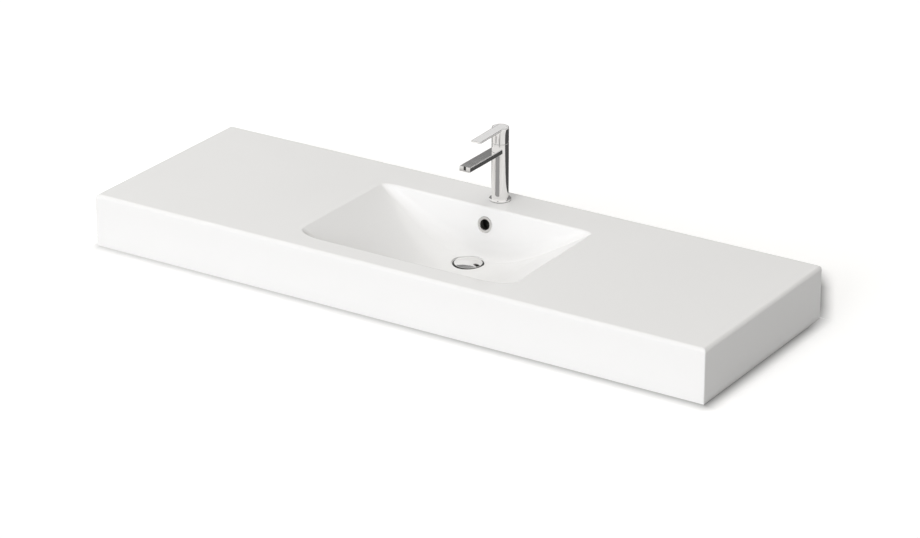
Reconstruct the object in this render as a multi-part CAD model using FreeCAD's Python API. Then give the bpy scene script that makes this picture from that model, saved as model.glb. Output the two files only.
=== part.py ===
"""Wall-hung ceramic washbasin, 1400 mm wide, with a single-lever mixer tap and a push waste.

Frame: origin on the wall plane, on the centreline, midway between the two wall
fixing holes and half a slab height below the deck. +X runs along the basin, +Z is
up and -Y points into the room, so the wall is the plane Y = 0.
All sizes are in millimetres.
"""
import FreeCAD, Part
import math
import os

Vec = FreeCAD.Vector
UP = Vec(0, 0, 1)
EPS = 1.0
NEAR = 0.01
MOSTLY = 0.9

# Slab
WIDTH = 1400.0
DEPTH = 465.0
HEIGHT = 110.0
DECK = HEIGHT / 2
FOOT = -HEIGHT / 2
HALF = WIDTH / 2
WALL = 14.0
END_EDGE_R = 8.0
TIGHT_EDGE_R = 2.5
BACK_EDGE_R = 6.0

# Bowl: heights here are measured down from the deck
BOWL_HALF = 248.0
BOWL_BACK = -98.5
BOWL_FRONT = -410.0
BACK_LEAN = 0.16
FRONT_LEAN = 0.14
RAMP = math.radians(30.0)
TROUGH_HALF_BACK = 148.0
TROUGH_HALF_FRONT = 161.0
SHELL = 12.0
FLOOR_DROP = 97.0
CREASE_RIM_R = 12.0
CREASE_DEEP_R = 36.0
FRONT_CREASE_R = 34.0
RIM_R = 6.0
ABOVE = 10.0
BELOW = 130.0

# Underside
RIB_X = (300.0, 500.0)
RIB = 12.0
RIB_SETBACK = 12.0
WALL_HOLE_X = 400.0
WALL_HOLE_R = 7.0
WALL_PAD_R = 24.0
WALL_PAD = 8.0

# Waste, on its own vertical axis in the trough
WASTE_Y = -166.6
SEAT_R = 34.0
SEAT_DROP = 102.5
SEAT_COLLAR_R = 44.0
SEAT_COLLAR_DROP = 114.0
BOSS_R = 34.0
BOSS_DROP = 142.0
WASTE_HOLE_R = 23.0
THREAD_R = 20.955
TUBE_R = 18.0
GASKET = 1.2
GASKET_R = 31.0
GASKET_BORE_R = 23.2
FLANGE = 2.5
FLANGE_R = 31.5
FLANGE_MOUTH_R = 27.5
FLANGE_BEVEL = 0.6
TAIL_DROP = 200.0
FREE_THREAD = 28.0
UNDERCUT = 2.0
UNDERCUT_DEPTH = 0.7
SLOT_TOP = 113.0
SLOT_LOW = 124.0
SLOT_HALF = 9.0
HUB_R = 10.5
HUB_LOW = 128.0
ARM = 3.0
ARM_COUNT = 3
CONE_SEAL = 5.0
SLIP_WASHER = 1.5
WASTE_NUT = 12.0
WASTE_NUT_R = 33.0
CONE_R = 30.0
CONE_TOP_R = 26.0
SLIP_WASHER_R = 31.0

# Push plug
CAP_R = 32.5
CAP_UNDER = 98.2
CAP_EDGE = 1.4
CAP_RISE = 3.0
CAP_BOSS_R = 5.0
CAP_BOSS = 5.0
CAP_SEAL = 2.0
CAP_SEAL_R = 27.0
CAP_SEAL_LOW_R = 25.5
CAP_SEAL_BORE_R = 24.0
BARREL_R = 7.5
BARREL_BORE_R = 5.8
BARREL_TOP = 105.0
BARREL_LOW = 142.0
BARREL_END = 3.0
ROD_R = 2.8
PISTON_R = 5.6
PISTON_TOP = 121.0
PISTON = 6.0
SPRING_R = 4.6
SPRING_WIRE_R = 0.55
SPRING_TURNS = 5

# Overflow
OVERFLOW_DROP = 35.1
OVERFLOW_HOLE_R = 11.2
DUCT_HALF = 18.0
DUCT_WALL = 8.0
DUCT_DEEP = 14.0
DUCT_SKIN = 10.0
DUCT_TOP = 21.0
DUCT_TURN = 112.0
DUCT_LOW = 126.0
DUCT_BURIED = 2.0
COLLAR_BURIED = 2.0
RING_R = 16.9
RING_PROUD = 1.6
RING_BORE_R = 9.8
RING_EDGE_R = 1.4
SLEEVE_R = 11.0
SLEEVE = 9.0

# Tap, on its own vertical axis; heights are measured up from the deck
TAP_Y = -48.0
TAP_HOLE_R = 17.5
COLUMN_R = 16.6
SEAM = 119.3
BASE_R = 22.2
BASE_BORE_R = 13.0
BASE_SEAL = 1.0
BASE_SEAL_R = 21.6
BASE_SEAL_BORE_R = 17.6
BASE_EDGE = 1.0
BASE_RING = 3.5
BASE_LEDGE = 1.5
BASE_FIT = 0.05
SPOUT_HALF = 12.5
SPOUT_LOW = 103.3
SPOUT_TOP = 113.8
SPOUT_REACH = 131.6
SPOUT_EDGE_R = 1.2
SPOUT_NOTCH_HALF = 2.2
SPOUT_NOTCH = 6.5
SPOUT_NOTCH_DEEP = 1.5
CHANNEL_HALF = 8.0
CHANNEL_LOW = 105.8
CHANNEL_TOP = 110.8
CHAMBER_R = 14.0
CHAMBER_FLOOR = 93.0
PORT_X = 7.5
PORT_FORWARD = 3.0
PORT_R = 4.55
PORT_DEEP = 12.0
INLET_R = 2.0
STUD_BACK = 8.6
STUD_R = 4.0
STUD_HOLE = 14.0

# Aerator, under the spout tip
AERATOR_IN = 13.0
AERATOR_R = 9.6
AERATOR_BORE_R = 7.6
AERATOR_DROP = 0.8
AERATOR_SEAT = 110.8
AERATOR_SEAL = 1.4
AERATOR_LIP = 0.8
AERATOR_LIP_R = 7.0
AERATOR_OUT_R = 9.55
AERATOR_BEVEL = 0.4
AERATOR_CELL_R = 1.9
AERATOR_CELL_STEP = 5.1
AERATOR_SEAL_R = 9.5
AERATOR_SEAL_BORE_R = 6.8

# Cartridge
FIT = 0.05
CASE_R = 12.2
CASE_BORE_R = 11.0
CASE_LOW = 94.0
CASE_FLOOR = 98.0
CASE_SHOULDER = 114.0
CASE_TOP = 118.0
CASE_NECK_R = 10.0
CASE_LIP = 1.8
CASE_MOUTH_R = 7.7
WINDOW_FLOOR = 1.2
WINDOW_ROOF = 0.6
INLET_X = 3.8
INLET_Y = -3.4
OUTLET_Y = 4.0
DISC_HOLE_R = 1.9
FIXED_DISC_R = 10.4
FIXED_DISC = 3.0
MOVING_DISC_R = 8.6
MOVING_DISC = 3.0
MOVING_DISC_Y = 1.9
DISC_GAP = 0.03
POCKET_R = 4.0
POCKET_Y = 2.4
POCKET = 1.5
SEAT_RING_R = 3.0
SEAT_RING_DEEP = 0.7
CARRIER_TOP = 108.0
CARRIER_BOSS_TOP = 112.1
CARRIER_BOSS_HALF = 2.9
CARRIER_BOSS_LONG = 4.2
BALL_GAP = 0.08
BALL_BELOW = 0.6
TURRET_LOW = 108.4
TURRET_R = 10.9
TURRET_NECK_R = 7.5
TURRET_SLOT_HALF = 3.1
TURRET_SLOT_LONG = 9.0
EAR_TOP = 125.6
ORING_R = 0.9
ORING_BELOW = 0.4
NUT_LOW = 114.0
NUT_TOP = 120.4
NUT_BORE_R = 10.1
NUT_COLLAR_R = 12.0
NUT_SUNK = 0.3

# Lever and handle
PIVOT = 122.0
LEVER_ARM = 10.5
BALL_R = 2.2
BALL_HALF = 2.6
PIN_R = 1.5
PIN_HALF = 7.1
PIN_GAP = 0.03
EYE_R = 2.9
SPINDLE_HALF = 2.9
SPINDLE_TOP = 144.0
SPINDLE_SHANK = 1.4
SOCKET_ABOVE = 0.5
HANDLE_LOW = 120.0
HANDLE_TOP = 154.6
HANDLE_EDGE_R = 4.0
HANDLE_BORE_R = 14.4
HANDLE_ROOF = 149.5
SOCKET_R = 6.0
SOCKET_LOW = 129.0
REAR_CUT = math.radians(24.0)
BLADE_TOP = 156.0
BLADE_TIP_TOP = 154.3
BLADE = 4.6
BLADE_HALF = 10.5
BLADE_REACH = 92.0
BLADE_BACK = 13.0
BLADE_CORNER_R = 4.0
SCREW_R = 2.0
SCREW_UP = 138.0
SCREW_LONG = 6.0
PLUG_R = 3.0
PLUG_LONG = 2.0
PLUG_GAP = 0.02
PLUG_SUNK = 0.3
HEX_R = 1.0
HEX_DEEP = 1.5
COVER_R = 13.8
COVER_BORE_R = 12.2
COVER_LIP_R = 16.2
COVER_LIP = 0.5
COVER_TOP = 124.6

# Tap fixings under the deck
RUBBER = 2.0
PLATE = 3.0
PLATE_R = 19.5
PLATE_SLOT_HALF = 12.6
PLATE_STUD_GAP = 0.3
BRIDGE_HALF = 7.0
BRIDGE_FRONT = 6.0
BRIDGE_IN = 1.2
FIX_NUT = 14.0
FIX_NUT_R = 7.5
STUD_END = 42.0


def vertical(radius, low, high, x=0.0, y=0.0):
    """Upright cylinder between two row heights."""
    return Part.makeCylinder(radius, high - low, Vec(x, y, low), UP)


def ring(outer, inner, low, high, x=0.0, y=0.0):
    """Upright tube between two row heights."""
    return vertical(outer, low, high, x, y).cut(vertical(inner, low - EPS, high + EPS, x, y))


def block(x0, x1, y0, y1, z0, z1):
    """Box between two corners."""
    return Part.makeBox(x1 - x0, y1 - y0, z1 - z0, Vec(x0, y0, z0))


def side_prism(points, half):
    """Closed outline in the YZ plane, carried across X from -half to +half."""
    corners = [Vec(-half, y, z) for y, z in points]
    face = Part.Face(Part.makePolygon(corners + corners[:1]))
    return face.extrude(Vec(2 * half, 0, 0))


def lathe(points, y):
    """Closed outline of (radius, row height) turned about the upright axis at the given y."""
    corners = [Vec(r, y, z) for r, z in points]
    face = Part.Face(Part.makePolygon(corners + corners[:1]))
    return face.revolve(Vec(0, y, 0), UP, 360)


def sixth_turn(i):
    """Level unit vector after i sixths of a full turn."""
    return Vec(math.cos(math.pi / 3 * i), math.sin(math.pi / 3 * i), 0)


def hex_nut(corner_r, bore_r, low, high, x, y):
    """Six-sided nut with a plain bore."""
    corners = [Vec(x, y, low) + corner_r * sixth_turn(i) for i in range(6)]
    blank = Part.Face(Part.makePolygon(corners + corners[:1])).extrude(Vec(0, 0, high - low))
    return blank.cut(vertical(bore_r, low - EPS, high + EPS, x, y))


def back_face(drop):
    """Y of the bowl's back wall at a distance below the deck."""
    return BOWL_BACK - BACK_LEAN * drop


# Basin

def trough_section(y, grow):
    """Bowl section at one y: two straight ramps joined by a tangent arc, which is drawn in two halves."""
    along = (y - BOWL_BACK) / (BOWL_FRONT - BOWL_BACK)
    half = TROUGH_HALF_BACK + (TROUGH_HALF_FRONT - TROUGH_HALF_BACK) * along
    radius = half / math.sin(RAMP)
    join_z = DECK - (BOWL_HALF - half) * math.tan(RAMP)
    centre_z = join_z + radius * math.cos(RAMP)
    radius += grow
    join_x = radius * math.sin(RAMP)
    join_z = centre_z - radius * math.cos(RAMP)
    top_z = DECK + ABOVE
    top_x = join_x + (top_z - join_z) / math.tan(RAMP)
    left, left_mid, low, right_mid, right = [
        Vec(radius * math.sin(turn * RAMP), y, centre_z - radius * math.cos(turn * RAMP))
        for turn in (-1.0, -0.5, 0.0, 0.5, 1.0)]
    top_left = Vec(-top_x, y, top_z)
    top_right = Vec(top_x, y, top_z)
    curves = [Part.LineSegment(top_left, left), Part.Arc(left, left_mid, low),
              Part.Arc(low, right_mid, right), Part.LineSegment(right, top_right),
              Part.LineSegment(top_right, top_left)]
    return Part.Wire([curve.toShape() for curve in curves])


def bowl_solid(grow):
    """The bowl's air, or with grow above zero the outside of its shell."""
    start = BOWL_BACK + 4 * SHELL
    end = BOWL_FRONT - 4 * SHELL
    trough = Part.makeLoft([trough_section(start, grow), trough_section(end, grow)], True, True)
    back = BOWL_BACK + grow
    front = BOWL_FRONT - grow
    top = DECK + ABOVE + EPS
    low = DECK - BELOW
    ends = side_prism([(back + BACK_LEAN * (top - DECK), top), (back - BACK_LEAN * BELOW, low),
                       (front + FRONT_LEAN * BELOW, low), (front - FRONT_LEAN * (top - DECK), top)], HALF)
    return trough.common(ends)


def on_crease(edge, near_y, lean):
    """True for the bowl's edges on its back or front wall, apart from the top one."""
    ends = [v.Point for v in edge.Vertexes]
    on_wall = all(abs(p.y - (near_y + lean * (DECK - p.z))) < NEAR for p in ends)
    high = all(abs(p.z - (DECK + ABOVE)) < NEAR for p in ends)
    return on_wall and not high


def crease_radius(point):
    """Radius of the back crease: small at the rim and larger towards the bowl's floor."""
    share = min(max((DECK - point.z) / FLOOR_DROP, 0.0), 1.0)
    return CREASE_RIM_R + (CREASE_DEEP_R - CREASE_RIM_R) * share


def growing_fillet(solid, edges, radius_at):
    """Rounds edges with a radius that changes from point to point."""
    document = FreeCAD.newDocument("creases")
    base = document.addObject("Part::Feature", "base")
    base.Shape = solid
    centres = [edge.CenterOfMass for edge in edges]
    rows = []
    for index, edge in enumerate(base.Shape.Edges, start=1):
        if any(edge.CenterOfMass.sub(centre).Length < NEAR for centre in centres):
            rows.append((index, radius_at(edge.Vertexes[0].Point), radius_at(edge.Vertexes[-1].Point)))
    fillet = document.addObject("Part::Fillet", "fillet")
    fillet.Base = base
    fillet.Edges = rows
    document.recompute()
    rounded = fillet.Shape.copy()
    FreeCAD.closeDocument(document.Name)
    return rounded


def bowl_air():
    """The bowl's air with its creases rounded."""
    solid = bowl_solid(0.0)
    back = [edge for edge in solid.Edges if on_crease(edge, BOWL_BACK, -BACK_LEAN)]
    solid = growing_fillet(solid, back, crease_radius)
    front = [edge for edge in solid.Edges if on_crease(edge, BOWL_FRONT, FRONT_LEAN)]
    return solid.makeFillet(FRONT_CREASE_R, front)


def edges_where(solid, test):
    """Edges whose every vertex passes a test."""
    return [e for e in solid.Edges if e.Vertexes and all(test(v.Point) for v in e.Vertexes)]


def slab():
    """Outer block: soft end edges, then one tight edge round the front face and one round the back."""
    solid = block(-HALF, HALF, -DEPTH, 0, FOOT, DECK)
    ends = edges_where(solid, lambda p: abs(abs(p.x) - HALF) < NEAR and abs(p.z - DECK) < NEAR)
    solid = solid.makeFillet(END_EDGE_R, ends)
    for y, radius in ((-DEPTH, TIGHT_EDGE_R), (0.0, BACK_EDGE_R)):
        outline = edges_where(solid, lambda p: abs(p.y - y) < NEAR)
        outline = [e for e in outline if e.CenterOfMass.z > FOOT + NEAR]
        solid = solid.makeFillet(radius, outline)
    return solid


def duct_outline(skin, deep, top, turn, low):
    """YZ outline of the overflow passage: down behind the back wall, then forward to the waste."""
    return [(back_face(top) + skin, DECK - top), (back_face(top) + deep, DECK - top),
            (back_face(low) + deep, DECK - low), (WASTE_Y, DECK - low),
            (WASTE_Y, DECK - turn), (back_face(turn) + skin, DECK - turn)]


def underside():
    """The open hollow below the deck and round the bowl, with its ribs left standing."""
    hollow = block(-HALF + WALL, HALF - WALL, -DEPTH + WALL, -WALL, FOOT - EPS, DECK - WALL)
    hollow = hollow.cut(bowl_solid(SHELL))
    for x in RIB_X:
        for side in (-1, 1):
            rib = block(side * x - RIB / 2, side * x + RIB / 2, -DEPTH, 0, FOOT + RIB_SETBACK, DECK)
            hollow = hollow.cut(rib)
    for side in (-1, 1):
        pad = Part.makeCylinder(WALL_PAD_R, WALL + WALL_PAD, Vec(side * WALL_HOLE_X, 0, 0), Vec(0, -1, 0))
        hollow = hollow.cut(pad)
    return hollow


def waste_boss():
    """Collar and boss that the waste is clamped through, with the overflow passage's walls."""
    collar = vertical(SEAT_COLLAR_R, DECK - SEAT_COLLAR_DROP, DECK - SEAT_DROP + COLLAR_BURIED, 0, WASTE_Y)
    boss = vertical(BOSS_R, DECK - BOSS_DROP, DECK - SEAT_DROP, 0, WASTE_Y)
    outside = DUCT_SKIN + DUCT_DEEP + DUCT_WALL
    outline = duct_outline(DUCT_BURIED, outside, WALL - EPS, SEAT_DROP, DUCT_LOW + DUCT_WALL)
    duct = side_prism(outline, DUCT_HALF + DUCT_WALL)
    return collar.fuse([boss, duct])


def basin_body():
    air = bowl_air()
    body = slab().cut(underside())
    body = body.fuse(waste_boss()).cut(air)
    passage = duct_outline(DUCT_SKIN, DUCT_SKIN + DUCT_DEEP, DUCT_TOP, DUCT_TURN, DUCT_LOW)
    body = body.cut(side_prism(passage, DUCT_HALF))
    body = body.cut(overflow_cylinder(OVERFLOW_HOLE_R, -EPS - RING_PROUD, DUCT_SKIN + DUCT_DEEP / 2))
    body = body.cut(vertical(SEAT_R, DECK - SEAT_DROP, DECK, 0, WASTE_Y))
    body = body.cut(vertical(WASTE_HOLE_R, DECK - BOSS_DROP - EPS, DECK, 0, WASTE_Y))
    body = body.cut(vertical(TAP_HOLE_R, DECK - 2 * WALL, DECK + EPS, 0, TAP_Y))
    for side in (-1, 1):
        hole = Part.makeCylinder(WALL_HOLE_R, 3 * WALL, Vec(side * WALL_HOLE_X, EPS, 0), Vec(0, -1, 0))
        body = body.cut(hole)
    rim = [e for e in body.Edges if is_rim(e)]
    return body.makeFillet(RIM_R, rim).removeSplitter()


def is_rim(edge):
    """True for the edges where the bowl opens through the deck."""
    points = [v.Point for v in edge.Vertexes]
    if not points:
        return False
    level = all(abs(p.z - DECK) < NEAR for p in points)
    inside = all(abs(p.x) < BOWL_HALF + EPS and BOWL_FRONT - EPS < p.y < BOWL_BACK + EPS for p in points)
    return level and inside


# Overflow ring

def wall_axis():
    """Unit vector out of the back wall into the bowl."""
    return Vec(0, -1, BACK_LEAN).normalize()


def overflow_cylinder(radius, out, behind):
    """Cylinder square to the back wall, from a height out of it to a depth behind it."""
    axis = wall_axis()
    centre = Vec(0, back_face(OVERFLOW_DROP), DECK - OVERFLOW_DROP)
    return Part.makeCylinder(radius, behind - out, centre - axis * out, axis * -1)


def overflow_ring():
    flange = overflow_cylinder(RING_R, -RING_PROUD, 0)
    outer = [e for e in flange.Edges if e.CenterOfMass.sub(front_centre()).Length < NEAR]
    flange = flange.makeFillet(RING_EDGE_R, outer)
    sleeve = overflow_cylinder(SLEEVE_R, 0, SLEEVE)
    return flange.fuse(sleeve).cut(overflow_cylinder(RING_BORE_R, -RING_PROUD - EPS, SLEEVE + EPS))


def front_centre():
    """Centre of the ring's front face."""
    return Vec(0, back_face(OVERFLOW_DROP), DECK - OVERFLOW_DROP) + wall_axis() * RING_PROUD


# Waste

def waste_gasket():
    low = DECK - SEAT_DROP
    return ring(GASKET_R, GASKET_BORE_R, low, low + GASKET, 0, WASTE_Y)


def waste_body():
    under = DECK - SEAT_DROP + GASKET
    top = under + FLANGE
    tail = DECK - TAIL_DROP
    groove_low = tail + FREE_THREAD
    groove_r = THREAD_R - UNDERCUT_DEPTH
    outline = [(TUBE_R, tail), (THREAD_R, tail), (THREAD_R, groove_low), (groove_r, groove_low),
               (groove_r, groove_low + UNDERCUT), (THREAD_R, groove_low + UNDERCUT), (THREAD_R, under),
               (FLANGE_R, under), (FLANGE_R, top - FLANGE_BEVEL), (FLANGE_R - FLANGE_BEVEL, top),
               (FLANGE_MOUTH_R, top), (TUBE_R, under - 2 * FLANGE)]
    body = lathe(outline, WASTE_Y)
    slot = block(-SLOT_HALF, SLOT_HALF, WASTE_Y - WASTE_HOLE_R, WASTE_Y + WASTE_HOLE_R,
                 DECK - SLOT_LOW, DECK - SLOT_TOP)
    body = body.cut(slot)
    hub_low, hub_top = DECK - HUB_LOW - ARM, DECK - SLOT_LOW
    spider = vertical(HUB_R, hub_low, hub_top, 0, WASTE_Y)
    for i in range(ARM_COUNT):
        arm = block(-ARM / 2, ARM / 2, WASTE_Y, WASTE_Y + TUBE_R + EPS, hub_low, hub_top)
        arm.rotate(Vec(0, WASTE_Y, 0), UP, 360.0 / ARM_COUNT * i)
        spider = spider.fuse(arm)
    return body.fuse(spider).cut(vertical(BARREL_R, hub_low - EPS, hub_top + EPS, 0, WASTE_Y))


def waste_cone_seal():
    top = DECK - BOSS_DROP
    bore = THREAD_R + FIT
    outline = [(bore, top - CONE_SEAL), (CONE_R, top - CONE_SEAL), (CONE_TOP_R, top), (bore, top)]
    return lathe(outline, WASTE_Y)


def waste_slip_washer():
    top = DECK - BOSS_DROP - CONE_SEAL
    return ring(SLIP_WASHER_R, THREAD_R + FIT, top - SLIP_WASHER, top, 0, WASTE_Y)


def waste_nut():
    top = DECK - BOSS_DROP - CONE_SEAL - SLIP_WASHER
    return hex_nut(WASTE_NUT_R, THREAD_R + FIT, top - WASTE_NUT, top, 0, WASTE_Y)


def waste_cap():
    low = DECK - CAP_UNDER
    edge = low + CAP_EDGE
    crown = edge + CAP_RISE
    radius = (CAP_R ** 2 + CAP_RISE ** 2) / (2 * CAP_RISE)
    middle_r = CAP_R / 2
    middle_z = crown - radius + math.sqrt(radius ** 2 - middle_r ** 2)
    dome = [Part.LineSegment(Vec(0, WASTE_Y, low), Vec(CAP_R, WASTE_Y, low)),
            Part.LineSegment(Vec(CAP_R, WASTE_Y, low), Vec(CAP_R, WASTE_Y, edge)),
            Part.Arc(Vec(CAP_R, WASTE_Y, edge), Vec(middle_r, WASTE_Y, middle_z), Vec(0, WASTE_Y, crown)),
            Part.LineSegment(Vec(0, WASTE_Y, crown), Vec(0, WASTE_Y, low))]
    face = Part.Face(Part.Wire([e.toShape() for e in dome]))
    cap = face.revolve(Vec(0, WASTE_Y, 0), UP, 360)
    boss = vertical(CAP_BOSS_R, low - CAP_BOSS, low, 0, WASTE_Y)
    return cap.fuse(boss).cut(vertical(ROD_R, low - CAP_BOSS - EPS, low, 0, WASTE_Y))


def cap_seal():
    top = DECK - CAP_UNDER
    outline = [(CAP_SEAL_BORE_R, top - CAP_SEAL), (CAP_SEAL_LOW_R, top - CAP_SEAL), (CAP_SEAL_R, top),
               (CAP_SEAL_BORE_R, top)]
    return lathe(outline, WASTE_Y)


def plunger():
    rod = vertical(ROD_R, DECK - PISTON_TOP, DECK - CAP_UNDER, 0, WASTE_Y)
    piston = vertical(PISTON_R, DECK - PISTON_TOP - PISTON, DECK - PISTON_TOP, 0, WASTE_Y)
    return rod.fuse(piston)


def click_barrel():
    low, top = DECK - BARREL_LOW, DECK - BARREL_TOP
    barrel = vertical(BARREL_R, low, top, 0, WASTE_Y)
    barrel = barrel.cut(vertical(BARREL_BORE_R, low + BARREL_END, top - BARREL_END, 0, WASTE_Y))
    return barrel.cut(vertical(ROD_R + FIT, top - BARREL_END - EPS, top + EPS, 0, WASTE_Y))


def click_spring():
    low = DECK - BARREL_LOW + BARREL_END + SPRING_WIRE_R
    high = DECK - PISTON_TOP - PISTON - SPRING_WIRE_R
    pitch = (high - low) / SPRING_TURNS
    helix = Part.makeHelix(pitch, high - low, SPRING_R)
    circle = Part.makeCircle(SPRING_WIRE_R, Vec(SPRING_R, 0, 0), Vec(0, 1, pitch / (2 * math.pi * SPRING_R)))
    wire = Part.Wire(helix).makePipeShell([Part.Wire(circle)], True, False)
    wire.translate(Vec(0, WASTE_Y, low))
    return wire


# Tap body and base

def base_seal():
    return ring(BASE_SEAL_R, BASE_SEAL_BORE_R, DECK, DECK + BASE_SEAL, 0, TAP_Y)


def base_ring():
    low = DECK + BASE_SEAL
    bore = COLUMN_R + BASE_FIT
    top = low + BASE_RING
    outline = [(BASE_BORE_R, low), (BASE_R, low), (BASE_R, top - BASE_EDGE), (BASE_R - BASE_EDGE, top),
               (bore, top), (bore, low + BASE_LEDGE), (BASE_BORE_R, low + BASE_LEDGE)]
    return lathe(outline, TAP_Y)


def tap_foot():
    """Row height of the column's underside, on the base ring's ledge."""
    return DECK + BASE_SEAL + BASE_LEDGE


def spout():
    """Square-edged bar that runs forward from the column, with a small notch in its front face."""
    tip = TAP_Y - SPOUT_REACH
    bar = block(-SPOUT_HALF, SPOUT_HALF, tip, TAP_Y, DECK + SPOUT_LOW, DECK + SPOUT_TOP)
    long_edges = [e for e in bar.Edges if abs(e.tangentAt(e.FirstParameter).y) > MOSTLY]
    bar = bar.makeFillet(SPOUT_EDGE_R, long_edges)
    notch_z = DECK + SPOUT_TOP - SPOUT_NOTCH + SPOUT_NOTCH_HALF
    notch = block(-SPOUT_NOTCH_HALF, SPOUT_NOTCH_HALF, tip - EPS, tip + SPOUT_NOTCH_DEEP,
                  notch_z, DECK + SPOUT_TOP + EPS)
    notch_end = Part.makeCylinder(SPOUT_NOTCH_HALF, SPOUT_NOTCH_DEEP + EPS, Vec(0, tip - EPS, notch_z),
                                  Vec(0, 1, 0))
    return bar.cut(notch.fuse(notch_end))


def tap_body():
    foot = tap_foot()
    body = vertical(COLUMN_R, foot, DECK + SEAM, 0, TAP_Y).fuse(spout())
    body = body.cut(vertical(CHAMBER_R, DECK + CHAMBER_FLOOR, DECK + SEAM + EPS, 0, TAP_Y))
    body = body.cut(block(-CHANNEL_HALF, CHANNEL_HALF, aerator_y(), TAP_Y - CHAMBER_R / 2,
                          DECK + CHANNEL_LOW, DECK + CHANNEL_TOP))
    body = body.cut(vertical(AERATOR_R, DECK + SPOUT_LOW - EPS, DECK + AERATOR_SEAT, 0, aerator_y()))
    port_y = TAP_Y - PORT_FORWARD
    for side in (-1, 1):
        body = body.cut(vertical(PORT_R, foot - EPS, foot + PORT_DEEP, side * PORT_X, port_y))
        turn = foot + 2 * PORT_DEEP
        body = body.cut(vertical(INLET_R, foot, turn, side * PORT_X, port_y))
        low = Vec(side * PORT_X, port_y, turn - INLET_R)
        high = Vec(side * INLET_X, TAP_Y + INLET_Y, DECK + CHAMBER_FLOOR + EPS)
        body = body.cut(Part.makeCylinder(INLET_R, (high - low).Length, low, high - low))
    return body.cut(vertical(STUD_R, foot - EPS, foot + STUD_HOLE, 0, TAP_Y + STUD_BACK))


def aerator_y():
    """Y of the aerator's axis."""
    return TAP_Y - SPOUT_REACH + AERATOR_IN


def aerator_housing():
    low = DECK + SPOUT_LOW - AERATOR_DROP
    top = DECK + AERATOR_SEAT - AERATOR_SEAL
    shelf = low + AERATOR_LIP
    outline = [(AERATOR_LIP_R, low), (AERATOR_OUT_R - AERATOR_BEVEL, low),
               (AERATOR_OUT_R, low + AERATOR_BEVEL), (AERATOR_OUT_R, top), (AERATOR_BORE_R, top),
               (AERATOR_BORE_R, shelf), (AERATOR_LIP_R, shelf)]
    return lathe(outline, aerator_y())


def aerator_insert():
    """Flow straightener: a disc with one round passage in the middle and six round it."""
    low = DECK + SPOUT_LOW - AERATOR_DROP + AERATOR_LIP
    top = DECK + AERATOR_SEAT - AERATOR_SEAL
    insert = vertical(AERATOR_BORE_R - FIT, low, top, 0, aerator_y())
    for offset in [Vec()] + [AERATOR_CELL_STEP * sixth_turn(i) for i in range(6)]:
        insert = insert.cut(vertical(AERATOR_CELL_R, low - EPS, top + EPS, offset.x, aerator_y() + offset.y))
    return insert


def aerator_seal():
    top = DECK + AERATOR_SEAT
    return ring(AERATOR_SEAL_R, AERATOR_SEAL_BORE_R, top - AERATOR_SEAL, top, 0, aerator_y())


# Cartridge

def disc_holes(solid, low, high):
    """Cuts the two inlet holes and the outlet hole through a disc or floor."""
    for x, y in ((-INLET_X, INLET_Y), (INLET_X, INLET_Y), (0.0, OUTLET_Y)):
        solid = solid.cut(vertical(DISC_HOLE_R, low, high, x, TAP_Y + y))
    return solid


def cartridge_housing():
    low, floor = DECK + CASE_LOW, DECK + CASE_FLOOR
    shoulder, top = DECK + CASE_SHOULDER, DECK + CASE_TOP
    case = vertical(CASE_R, low, shoulder, 0, TAP_Y).fuse(vertical(CASE_NECK_R, shoulder, top, 0, TAP_Y))
    case = case.cut(vertical(CASE_BORE_R, floor, shoulder - CASE_LIP, 0, TAP_Y))
    case = case.cut(vertical(CASE_MOUTH_R, floor, top + EPS, 0, TAP_Y))
    for x in (-INLET_X, INLET_X):
        case = case.cut(vertical(DISC_HOLE_R, low - EPS, floor + EPS, x, TAP_Y + INLET_Y))
        case = case.cut(vertical(SEAT_RING_R, low - EPS, low + SEAT_RING_DEEP, x, TAP_Y + INLET_Y))
    window = block(-DISC_HOLE_R, DISC_HOLE_R, TAP_Y + OUTLET_Y, TAP_Y + CASE_R + EPS, low + WINDOW_FLOOR,
                   floor - WINDOW_ROOF)
    case = case.cut(window)
    return case.cut(vertical(DISC_HOLE_R, low + WINDOW_FLOOR, floor + EPS, 0, TAP_Y + OUTLET_Y))


def cartridge_base_seals():
    low = DECK + CHAMBER_FLOOR
    top = DECK + CASE_LOW + SEAT_RING_DEEP
    return Part.makeCompound([ring(SEAT_RING_R - FIT, INLET_R, low, top, x, TAP_Y + INLET_Y)
                              for x in (-INLET_X, INLET_X)])


def cartridge_oring():
    mid = (CASE_R + CHAMBER_R) / 2
    low = DECK + CASE_SHOULDER - 2 * ORING_R - ORING_BELOW
    return Part.makeTorus(mid, ORING_R, Vec(0, TAP_Y, low + ORING_R), UP)


def fixed_disc():
    low = DECK + CASE_FLOOR
    disc = vertical(FIXED_DISC_R, low, low + FIXED_DISC, 0, TAP_Y)
    return disc_holes(disc, low - EPS, low + FIXED_DISC + EPS)


def moving_disc():
    low = DECK + CASE_FLOOR + FIXED_DISC + DISC_GAP
    disc = vertical(MOVING_DISC_R, low, low + MOVING_DISC, 0, TAP_Y + MOVING_DISC_Y)
    return disc.cut(vertical(POCKET_R, low - EPS, low + POCKET, 0, TAP_Y + POCKET_Y))


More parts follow.
